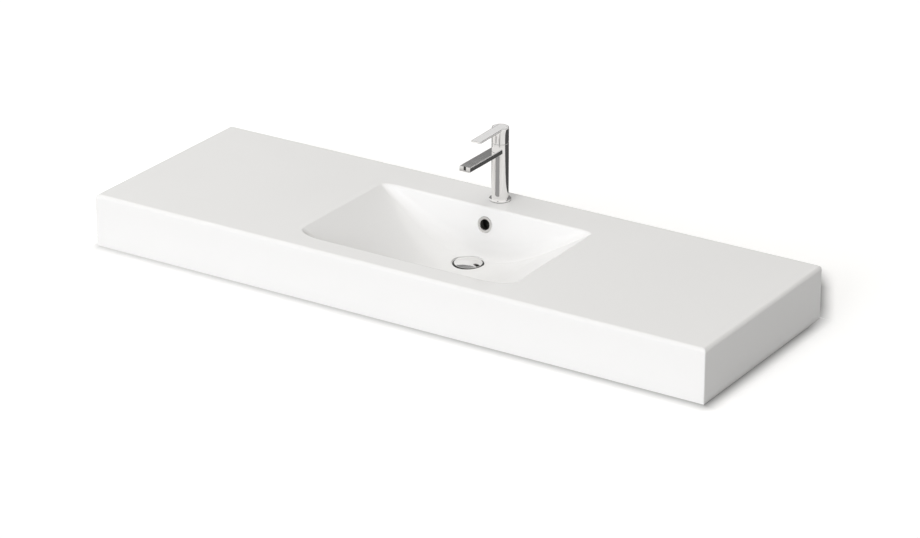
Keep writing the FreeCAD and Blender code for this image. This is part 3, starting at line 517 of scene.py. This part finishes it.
class LeverSettings(bpy.types.PropertyGroup):
    """The lever handle and the column under it."""
    radius: bpy.props.FloatProperty(name="Cap radius", description="Radius of the round cap and the sleeve",
                                    unit="LENGTH", default=0.0172)
    width: bpy.props.FloatProperty(name="Blade width", description="Width of the flat blade", unit="LENGTH",
                                   default=0.0228)
    reach: bpy.props.FloatProperty(name="Blade reach", description="Blade tip from the tap's axis",
                                   unit="LENGTH", default=0.0920)
    tip: bpy.props.FloatProperty(name="Tip thickness", description="Thickness of the blade at its tip",
                                 unit="LENGTH", default=0.0034)


class WasteSettings(bpy.types.PropertyGroup):
    """The push waste's cap."""
    radius: bpy.props.FloatProperty(name="Cap radius", description="Radius of the domed cap",
                                    unit="LENGTH", default=0.0286)
    rise: bpy.props.FloatProperty(name="Dome rise", description="Height of the dome over its edge",
                                  unit="LENGTH", default=0.0036)
    gap: bpy.props.FloatProperty(name="Gap", description="Dark gap round the cap", unit="LENGTH",
                                 default=0.0034)


class OverflowSettings(bpy.types.PropertyGroup):
    """The overflow's trim ring."""
    radius: bpy.props.FloatProperty(name="Ring radius", description="Outer radius of the ring",
                                    unit="LENGTH", default=0.0169)
    bore: bpy.props.FloatProperty(name="Bore radius", description="Radius of the opening", unit="LENGTH",
                                  default=0.0113)


# Pieces

class WASHBASIN_OT_glaze(bpy.types.Operator):
    """Glaze the ceramic basin"""
    bl_idname = "washbasin.glaze"
    bl_label = "Glaze"

    def execute(self, context):
        tint = tuple(context.scene.basin_glaze.tint)
        low_tint = tuple(GLAZE_CLOUD * part for part in tint)
        material, tree, shader = varied("Glaze", tint, low_tint, (0.20, 0.24), cloud=4.0, ripple=35.0)
        shader.inputs["IOR"].default_value = GLAZE_INDEX
        self.painted_edge_shade(tree, shader)
        self.painted_passage_shade(tree, shader)
        dress("basin_body", material)
        return {"FINISHED"}

    @staticmethod
    def painted_edge_shade(tree, shader):
        """Painted shade: greys the faces that look up and forward, which dims the lamps' highlight on their
        edges.

        Colour = colour * (1 - shade * (2 * up * forward)^2), up and forward being parts of the normal.
        """
        geometry = tree.nodes.new("ShaderNodeNewGeometry")
        split = tree.nodes.new("ShaderNodeSeparateXYZ")
        tree.links.new(geometry.outputs["Normal"], split.inputs[0])
        forward = maths(tree, "MAXIMUM", product(tree, split.outputs["Y"], -2.0), 0.0)
        both = product(tree, forward, maths(tree, "MAXIMUM", split.outputs["Z"], 0.0))
        keep = maths(tree, "SUBTRACT", 1.0, product(tree, both, both, PAINTED_EDGE_SHADE))
        mix_into(tree, shader.inputs["Base Color"], keep, blend="MULTIPLY")

    @staticmethod
    def painted_passage_shade(tree, shader):
        """Painted shade: darkens the passage behind the overflow, where little light reaches, and roughens it
        where no glaze is.
        """
        dark = within(tree, *PASSAGE)
        mix_into(tree, shader.inputs["Base Color"], PASSAGE_SHADE_COLOUR, share=dark)
        mix_into(tree, shader.inputs["Roughness"], BARE_ROUGHNESS, share=dark)


class WASHBASIN_OT_metals(bpy.types.Operator):
    """Finish the chrome, brass, steel, rubber, plastic and disc pieces"""
    bl_idname = "washbasin.metals"
    bl_label = "Fittings"

    def execute(self, context):
        for name, slot, nodes in FITTINGS:
            for node in nodes:
                dress(node, finish(name))
        return {"FINISHED"}


class WASHBASIN_OT_lever(bpy.types.Operator):
    """Make the lever handle's cap, its flat blade and the plug in its back"""
    bl_idname = "washbasin.lever"
    bl_label = "Lever handle"

    def execute(self, context):
        settings = context.scene.basin_lever
        piece = grid_piece("lever_cap", self.cap(settings), finish("Chrome"), "lever")
        grid_piece("lever_blade", self.blade(settings), finish("Chrome"), "lever")
        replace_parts(piece, "handle")
        grey = finish("Grey plastic")
        plug = grid_piece("lever_plug", self.plug(settings), grey, "lever")
        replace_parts(plug, "handle_plug")
        return {"FINISHED"}

    @staticmethod
    def cap(settings):
        """Turned cap, open below, whose top falls to the front and whose lower edge rises behind the axis.

        Top = crown + fall * (distance behind the axis - radius), and lower edge = foot + cut * distance
        behind the axis.
        """
        radius = settings.radius / MM
        corners = [(0, LEVER_ROOF), (LEVER_HOLLOW, LEVER_ROOF), (LEVER_HOLLOW, LEVER_FOOT),
                   (radius, LEVER_FOOT), (radius, LEVER_CROWN), (0, LEVER_CROWN)]
        points = turned(eased(corners, (0.6, 0.3, 0.5, 1.6)), (0.0, TAP_Y, DECK))
        behind = points[..., 1] - TAP_Y
        height = points[..., 2]
        slanted = height + LEVER_FALL * (behind - settings.radius)
        height = np.where(height > DECK + MM * LEVER_TOP_FROM, slanted, height)
        points[..., 2] = np.maximum(height, DECK + MM * LEVER_FOOT + LEVER_CUT * np.maximum(behind, 0.0))
        return points

    @staticmethod
    def blade(settings):
        """Flat blade, its sections at the distances s in front of the tap's axis.

        Past the start of the tip's corners, at the distance d, the half width loses corner - sqrt(corner^2 -
        d^2) and the thickness a part of that. The thickness otherwise runs evenly from the axis to the tip.
        """
        start = settings.reach - TIP_CORNER
        # Sections crowd at the root and before the tip's corners, so that the flats shade evenly
        root_step, corner_step = 0.0002, 0.0006
        flat = np.linspace(BLADE_ROOT + root_step, start - corner_step, 24)
        tip = settings.reach - TIP_CORNER * (1 - np.sin(np.linspace(0.15, 1.0, 8) * math.pi / 2))
        s = np.concatenate([[BLADE_ROOT], flat, [start], tip])
        d = np.maximum(s - start, 0.0)
        narrowing = TIP_CORNER - np.sqrt(np.maximum(TIP_CORNER ** 2 - d ** 2, 0.0))
        thinning = TIP_CORNER - np.sqrt(TIP_CORNER ** 2 - 0.9 * d ** 2)
        under_part, upper_part = 0.3, 0.1
        even = BLADE_THICK + (settings.tip - BLADE_THICK) * np.clip(s / settings.reach, 0.0, 1.0)
        thickness = even - (under_part + upper_part) * thinning
        # The blade lies a little proud of the cap's slanted top
        proud = 0.0001
        slant = DECK + MM * LEVER_CROWN + proud - LEVER_FALL * (s + settings.radius)
        top = slant - upper_part * thinning
        edge_share = 0.42
        return bar(settings.width - 2 * narrowing, thickness, edge_share * thickness, TAP_Y - s,
                   top - thickness / 2)

    @staticmethod
    def plug(settings):
        """Small domed plug that faces the back, at the height of the CAD one."""
        radius, sunk, edge, crown = 2.6, -1.5, 0.1, 0.25
        outline = eased([(0, sunk), (radius, sunk), (radius, edge), (0, crown)], (0.2, 0.4))
        centre = (0.0, TAP_Y + settings.radius, middle(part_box("handle_plug"), 2))
        return turned(outline, centre, axis=(0.0, 1.0, 0.0), sides=32)


class WASHBASIN_OT_column(bpy.types.Operator):
    """Make the tap column's polished sleeve and the black plate of painted shade in the spout's end"""
    bl_idname = "washbasin.column"
    bl_label = "Tap column"

    def execute(self, context):
        radius = context.scene.basin_lever.radius / MM
        outline = ring_outline(inner=SLEEVE_INNER, outer=radius, low=SLEEVE_FOOT, high=SLEEVE_TOP,
                               seam=(SLEEVE_FOOT + SLEEVE_TOP) / 2, gap=1.0, radii=(0.1, 0.2, 0.35, 0.1))
        sleeve = turned(outline, (0.0, TAP_Y, DECK))
        grid_piece("column_sleeve", sleeve, finish("Chrome"), "basin", poles=False)
        grid_piece("spout_outlet_shade", self.slot(), finish("Black rubber"), "basin")
        return {"FINISHED"}

    @staticmethod
    def slot():
        """Painted shade of the outlet: black plate 0.2 mm out of the spout's end, its last section a little
        smaller.
        """
        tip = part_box("tap_body")[0].y
        depth = np.array([0.0012, 0.0, -0.0001, -0.0002])
        size = np.array([0.0, 0.0, 0.0, -0.0003])
        middle_z = DECK + SLOT_TOP - SLOT_HEIGHT / 2
        return bar(SLOT_WIDTH + size, SLOT_HEIGHT + size, np.full(4, SLOT_CORNER), tip + depth,
                   np.full(4, middle_z))


class WASHBASIN_OT_waste(bpy.types.Operator):
    """Make the domed waste cap, the black seal whose ring is also the gap's painted shade, and the glazed
    seat lip
    """
    bl_idname = "washbasin.waste"
    bl_label = "Push waste"

    def execute(self, context):
        settings = context.scene.basin_waste
        radius = settings.radius / MM
        seat = radius + settings.gap / MM
        centre = (0.0, WASTE_Y, BOWL_FLOOR)
        cap = turned(self.dome(radius, settings.rise / MM), centre, sides=128)
        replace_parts(grid_piece("waste_dome", cap, finish("Chrome"), "waste_plug"), "waste_cap")
        # The black seal reaches out across the gap round the cap and stands in for the shade in it: painted
        # shade on a real seal
        seal = ring_outline(inner=radius + 0.15, outer=seat + 0.4, low=-2.9, high=-0.3,
                            seam=-1.4, gap=0.1, radii=(0.1, 0.2, 0.3, 0.1))
        grid_piece("seat_seal_and_gap_shade", turned(seal, centre), finish("Black rubber"), "basin",
                   poles=False)
        lip = ring_outline(inner=seat, outer=SEAT_RADIUS, low=-3.2, high=0.04,
                           seam=-1.0, gap=0.1, radii=(0.1, 0.1, 0.1, 0.5))
        grid_piece("seat_lip", turned(lip, centre, sides=128), bpy.data.materials["Glaze"],
                   "basin", poles=False)
        return {"FINISHED"}

    @staticmethod
    def dome(radius, rise):
        """Outline of the cap: height = edge + rise * (1 - (r / radius)^2) inside its rolled edge."""
        r = radius * np.linspace(DOME_SHARE, 0.0, 30)
        height = CAP_EDGE + rise * (1 - (r / radius) ** 2)
        rim = eased([(0, CAP_FOOT), (radius, CAP_FOOT), (radius, CAP_EDGE), (r[0], height[0])], (0.4, 0.8))
        return np.vstack([rim, np.stack([r, height], -1)[1:]])


class WASHBASIN_OT_overflow(bpy.types.Operator):
    """Make the overflow's rounded trim ring"""
    bl_idname = "washbasin.overflow"
    bl_label = "Overflow ring"

    def execute(self, context):
        settings = context.scene.basin_overflow
        radius, bore = settings.radius / MM, settings.bore / MM
        centre = (0.0, BACK_WALL - WALL_LEAN * RING_DROP, DECK - RING_DROP)
        # Flange on the wall and the tube behind it, in millimetres: radii, then places along the ring's axis
        tube, throat = 11.0, 10.7
        face, back, end = 1.6, -0.1, -8.8
        outline = eased([(tube, -4.0), (tube, back), (radius, back), (radius, face), (bore, face),
                         (throat, end), (tube, end), (tube, -4.5)], (0.1, 0.1, 1.3, 0.7, 0.1, 0.1))
        ring = turned(outline, centre, axis=(0.0, -1.0, WALL_LEAN))
        piece = grid_piece("overflow_trim", ring, finish("Chrome"), "basin", poles=False)
        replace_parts(piece, "overflow_ring")
        return {"FINISHED"}


# Stage

def contact_loss(tree):
    """Share of light lost on the floor beside the slab: depth * (1 - distance / reach) ^ 1.5.

    The depth grows along the front with x and is a little more beside the right end. The shade weakens
    towards the wall line, stops there, and fades to nothing at the left end.
    """
    place = object_place(tree)
    squares = []
    for axis, centre, half in (("X", 0.0, HALF_LENGTH), ("Y", -DEPTH / 2, DEPTH / 2)):
        offset = maths(tree, "ABSOLUTE", maths(tree, "SUBTRACT", place[axis], centre))
        outside = maths(tree, "MAXIMUM", maths(tree, "SUBTRACT", offset, half), 0.0)
        squares.append(product(tree, outside, outside))
    total = maths(tree, "ADD", *squares)
    fall = fading(tree, maths(tree, "SQRT", total), SHADE_REACH)
    at_end = product(tree, maths(tree, "DIVIDE", squares[0], total), SHADE_AT_END)
    along = maths(tree, "ADD", product(tree, place["X"], SHADE_GAIN), SHADE_DEPTH)
    before = maths(tree, "LESS_THAN", place["Y"], 0.0)
    growth = maths(tree, "SUBTRACT", SHADE_AT_WALL, product(tree, place["Y"], SHADE_GROWTH))
    left = maths(tree, "DIVIDE", maths(tree, "SUBTRACT", place["X"], SHADE_LEFT), SHADE_LEFT_WAY)
    fade = product(tree, before, clamped(tree, left), maths(tree, "MINIMUM", growth, 1.0))
    return product(tree, maths(tree, "ADD", along, at_end), fall, fade)


def end_shade_material():
    """Shade on the wall line beside the right end: black, its alpha depth * (1 - distance / reach) ^ 1.5.

    It fades towards the deck's height and a little towards the floor, and only the camera sees it, from the
    front.
    """
    material, tree, shader = new_material("End shade")
    shader.inputs["Base Color"].default_value = (0.0, 0.0, 0.0, 1.0)
    take_gloss(shader)
    place = object_place(tree)
    fall = fading(tree, maths(tree, "SUBTRACT", place["X"], HALF_LENGTH), END_REACH)
    under = maths(tree, "SUBTRACT", DECK - END_CLEAR, place["Z"])
    upper = clamped(tree, maths(tree, "DIVIDE", under, END_GROWTH))
    over = maths(tree, "DIVIDE", maths(tree, "SUBTRACT", place["Z"], FOOT), END_LOW)
    at_floor, above = END_LOW_SHARES
    lower = maths(tree, "ADD", product(tree, maths(tree, "MINIMUM", over, 1.0), above), at_floor)
    rays = tree.nodes.new("ShaderNodeLightPath")
    geometry = tree.nodes.new("ShaderNodeNewGeometry")
    front = maths(tree, "SUBTRACT", rays.outputs["Is Camera Ray"], geometry.outputs["Backfacing"])
    seen = product(tree, maths(tree, "MAXIMUM", front, 0.0), upper, lower, END_DEPTH, fall)
    tree.links.new(seen, shader.inputs["Alpha"])
    return material


def floor_material():
    """Pale matte floor, which is clear from below.

    Where it is seen it is lifted to white and shaded beside the slab.
    """
    material, tree, surface = bare_material("Studio floor")
    nodes, links = tree.nodes, tree.links
    shader = nodes.new("ShaderNodeBsdfPrincipled")
    take_gloss(shader)
    seen = seen_directly(tree)
    shade = maths(tree, "SUBTRACT", 1.0, product(tree, seen, contact_loss(tree)))
    links.new(product(tree, shade, FLOOR_GREY), shader.inputs["Base Color"])
    glow = nodes.new("ShaderNodeEmission")
    glow.inputs["Color"].default_value = (1.0, 1.0, 1.0, 1.0)
    links.new(product(tree, seen, shade, FLOOR_LIFT), glow.inputs["Strength"])
    both = nodes.new("ShaderNodeAddShader")
    links.new(shader.outputs["BSDF"], both.inputs[0])
    links.new(glow.outputs["Emission"], both.inputs[1])
    side = nodes.new("ShaderNodeNewGeometry")
    clear = nodes.new("ShaderNodeBsdfTransparent")
    choose = nodes.new("ShaderNodeMixShader")
    links.new(side.outputs["Backfacing"], choose.inputs["Fac"])
    links.new(both.outputs["Shader"], choose.inputs[1])
    links.new(clear.outputs["BSDF"], choose.inputs[2])
    links.new(choose.outputs["Shader"], surface)
    return material


def flat_piece(scene, name, corners, faces, material):
    """Flat object of the stage."""
    mesh = bpy.data.meshes.new(name)
    mesh.from_pydata(corners, [], faces)
    mesh.materials.append(material)
    obj = bpy.data.objects.new(name, mesh)
    scene.collection.objects.link(obj)
    return obj


class WASHBASIN_OT_stage(bpy.types.Operator):
    """Set the floor, the lamps, the cards, the world and the camera"""
    bl_idname = "washbasin.stage"
    bl_label = "Stage"

    def execute(self, context):
        scene = context.scene
        settings = scene.basin_stage
        self.floor(scene)
        self.end_shade(scene)
        self.world(scene, settings)
        for name, strength, from_top, from_front, spread, warm in LAMPS:
            tint = settings.warm if warm else COOL_TINT
            self.lamp(scene, name, strength * settings.level, from_top, from_front, spread, tint)
        self.side_panel(scene, PANEL_POWER * settings.level)
        for name, first_across, first, second_across, second, grey in CARDS:
            corners = [(first_across[0], *first), (first_across[1], *first), (second_across[1], *second),
                       (second_across[0], *second)]
            self.card(scene, name, corners, grey)
        self.camera(scene, settings)
        scene.view_settings.view_transform = "Standard"
        return {"FINISHED"}

    @staticmethod
    def floor(scene):
        """Flat ring at the foot's height, from just inside the slab's outline to far away."""
        inner = (BASIN_LOW.x + FLOOR_INSET, BASIN_HIGH.x - FLOOR_INSET,
                 BASIN_LOW.y + FLOOR_INSET, BASIN_HIGH.y - FLOOR_INSET)
        outer = (-FLOOR_SPAN, FLOOR_SPAN, -FLOOR_SPAN, FLOOR_SPAN)
        corners = []
        for x_low, x_high, y_low, y_high in (inner, outer):
            corners += [(x_low, y_low, FOOT), (x_high, y_low, FOOT), (x_high, y_high, FOOT),
                        (x_low, y_high, FOOT)]
        faces = [(i, 4 + i, 4 + (i + 1) % 4, (i + 1) % 4) for i in range(4)]
        floor = flat_piece(scene, "studio_floor", corners, faces, floor_material())

    @staticmethod
    def end_shade(scene):
        """Upright piece on the wall line beside the right end, which carries the slab's shade there."""
        start, stop, wall = BASIN_HIGH.x + END_START, BASIN_HIGH.x + END_STOP, BASIN_HIGH.y + END_BEHIND
        corners = [(start, wall, FOOT), (stop, wall, FOOT), (stop, wall, DECK), (start, wall, DECK)]
        shade = flat_piece(scene, "end_shade", corners, [(0, 1, 2, 3)], end_shade_material())

    @staticmethod
    def world(scene, settings):
        """Even light on the basin, and plain white where the world itself is seen."""
        world = bpy.data.worlds.new("Studio")
        world.use_nodes = True
        scene.world = world
        tree = world.node_tree
        tree.nodes.clear()
        output = tree.nodes.new("ShaderNodeOutputWorld")
        light = tree.nodes.new("ShaderNodeBackground")
        light.inputs["Color"].default_value = (*settings.warm, 1.0)
        light.inputs["Strength"].default_value = settings.fill
        seen = tree.nodes.new("ShaderNodeBackground")
        seen.inputs["Color"].default_value = (1.0, 1.0, 1.0, 1.0)
        mix = tree.nodes.new("ShaderNodeMixShader")
        tree.links.new(seen_directly(tree), mix.inputs["Fac"])
        tree.links.new(light.outputs["Background"], mix.inputs[1])
        tree.links.new(seen.outputs["Background"], mix.inputs[2])
        tree.links.new(mix.outputs["Shader"], output.inputs["Surface"])

    @staticmethod
    def lamp(scene, name, strength, from_top, from_front, spread, tint):
        """Soft sun lamp, by its degrees down from overhead, round from the front and of width."""
        data = bpy.data.lights.new(name, "SUN")
        data.energy = strength
        data.angle = math.radians(spread)
        data.color = tint
        obj = bpy.data.objects.new(name, data)
        obj.rotation_euler = (math.radians(from_top), 0.0, math.radians(from_front))
        obj.visible_glossy = False
        scene.collection.objects.link(obj)

    @staticmethod
    def side_panel(scene, power):
        """Square light panel that looks at the basin's middle from close by."""
        data = bpy.data.lights.new("side_panel", "AREA")
        data.energy = power
        data.size = PANEL_SIDE
        obj = bpy.data.objects.new("side_panel", data)
        away = np.array(PANEL_PLACE) - np.array(PANEL_AIM)
        obj.location = PANEL_PLACE
        obj.rotation_euler = (math.atan2(math.hypot(away[0], away[1]), away[2]), 0.0,
                              math.atan2(away[0], -away[1]))
        obj.visible_glossy = False
        scene.collection.objects.link(obj)

    @staticmethod
    def card(scene, name, corners, grey):
        """Photographer's card that only reflections see."""
        material, tree, surface = bare_material(name)
        glow = tree.nodes.new("ShaderNodeEmission")
        glow.inputs["Color"].default_value = (grey, grey, grey, 1.0)
        tree.links.new(glow.outputs["Emission"], surface)
        obj = flat_piece(scene, name, corners, [(0, 1, 2, 3)], material)
        obj.visible_camera = False
        obj.visible_diffuse = False
        obj.visible_shadow = False
        obj.visible_transmission = False

    @staticmethod
    def camera(scene, settings):
        """Camera at its distance from the aim point, turned and raised by its two angles."""
        back = np.array([math.sin(settings.azimuth) * math.cos(settings.elevation),
                         -math.cos(settings.azimuth) * math.cos(settings.elevation),
                         math.sin(settings.elevation)])
        camera = bpy.data.cameras.new("photo_camera")
        camera.lens = settings.lens
        camera.sensor_width = 36.0
        camera.clip_end = 100.0
        eye = bpy.data.objects.new("photo_camera", camera)
        eye.location = np.array(settings.aim) + back * settings.distance
        eye.rotation_euler = (math.pi / 2 - settings.elevation, 0.0, settings.azimuth)
        scene.collection.objects.link(eye)
        scene.camera = eye


# Panel and registration

class WASHBASIN_PT_panel(bpy.types.Panel):
    """Lists the settings and the pieces that can be remade"""
    bl_idname = "WASHBASIN_PT_panel"
    bl_label = "Washbasin"
    bl_space_type = "VIEW_3D"
    bl_region_type = "UI"
    bl_category = "Washbasin"

    def draw(self, context):
        for name, group in SETTINGS:
            box = self.layout.box()
            for label in group.__annotations__:
                box.prop(getattr(context.scene, name), label)
        for operator in OPERATORS:
            self.layout.operator(operator.bl_idname)


SETTINGS = (("basin_glaze", GlazeSettings), ("basin_lever", LeverSettings), ("basin_waste", WasteSettings),
            ("basin_overflow", OverflowSettings), ("basin_stage", StageSettings))
OPERATORS = (WASHBASIN_OT_glaze, WASHBASIN_OT_metals, WASHBASIN_OT_lever, WASHBASIN_OT_column,
             WASHBASIN_OT_waste, WASHBASIN_OT_overflow, WASHBASIN_OT_stage)


def register():
    """Registers the settings, the operators and the panel."""
    for name, group in SETTINGS:
        bpy.utils.register_class(group)
        setattr(bpy.types.Scene, name, bpy.props.PointerProperty(type=group))
    for item in (*OPERATORS, WASHBASIN_PT_panel):
        bpy.utils.register_class(item)


def unregister():
    """Takes away what register added."""
    for item in (WASHBASIN_PT_panel, *reversed(OPERATORS)):
        bpy.utils.unregister_class(item)
    for name, group in SETTINGS:
        delattr(bpy.types.Scene, name)
        bpy.utils.unregister_class(group)


def main():
    """Makes everything in order."""
    register()
    bpy.ops.washbasin.glaze()
    bpy.ops.washbasin.metals()
    bpy.ops.washbasin.lever()
    bpy.ops.washbasin.column()
    bpy.ops.washbasin.waste()
    bpy.ops.washbasin.overflow()
    bpy.ops.washbasin.stage()


if __name__ == "__main__":
    main()
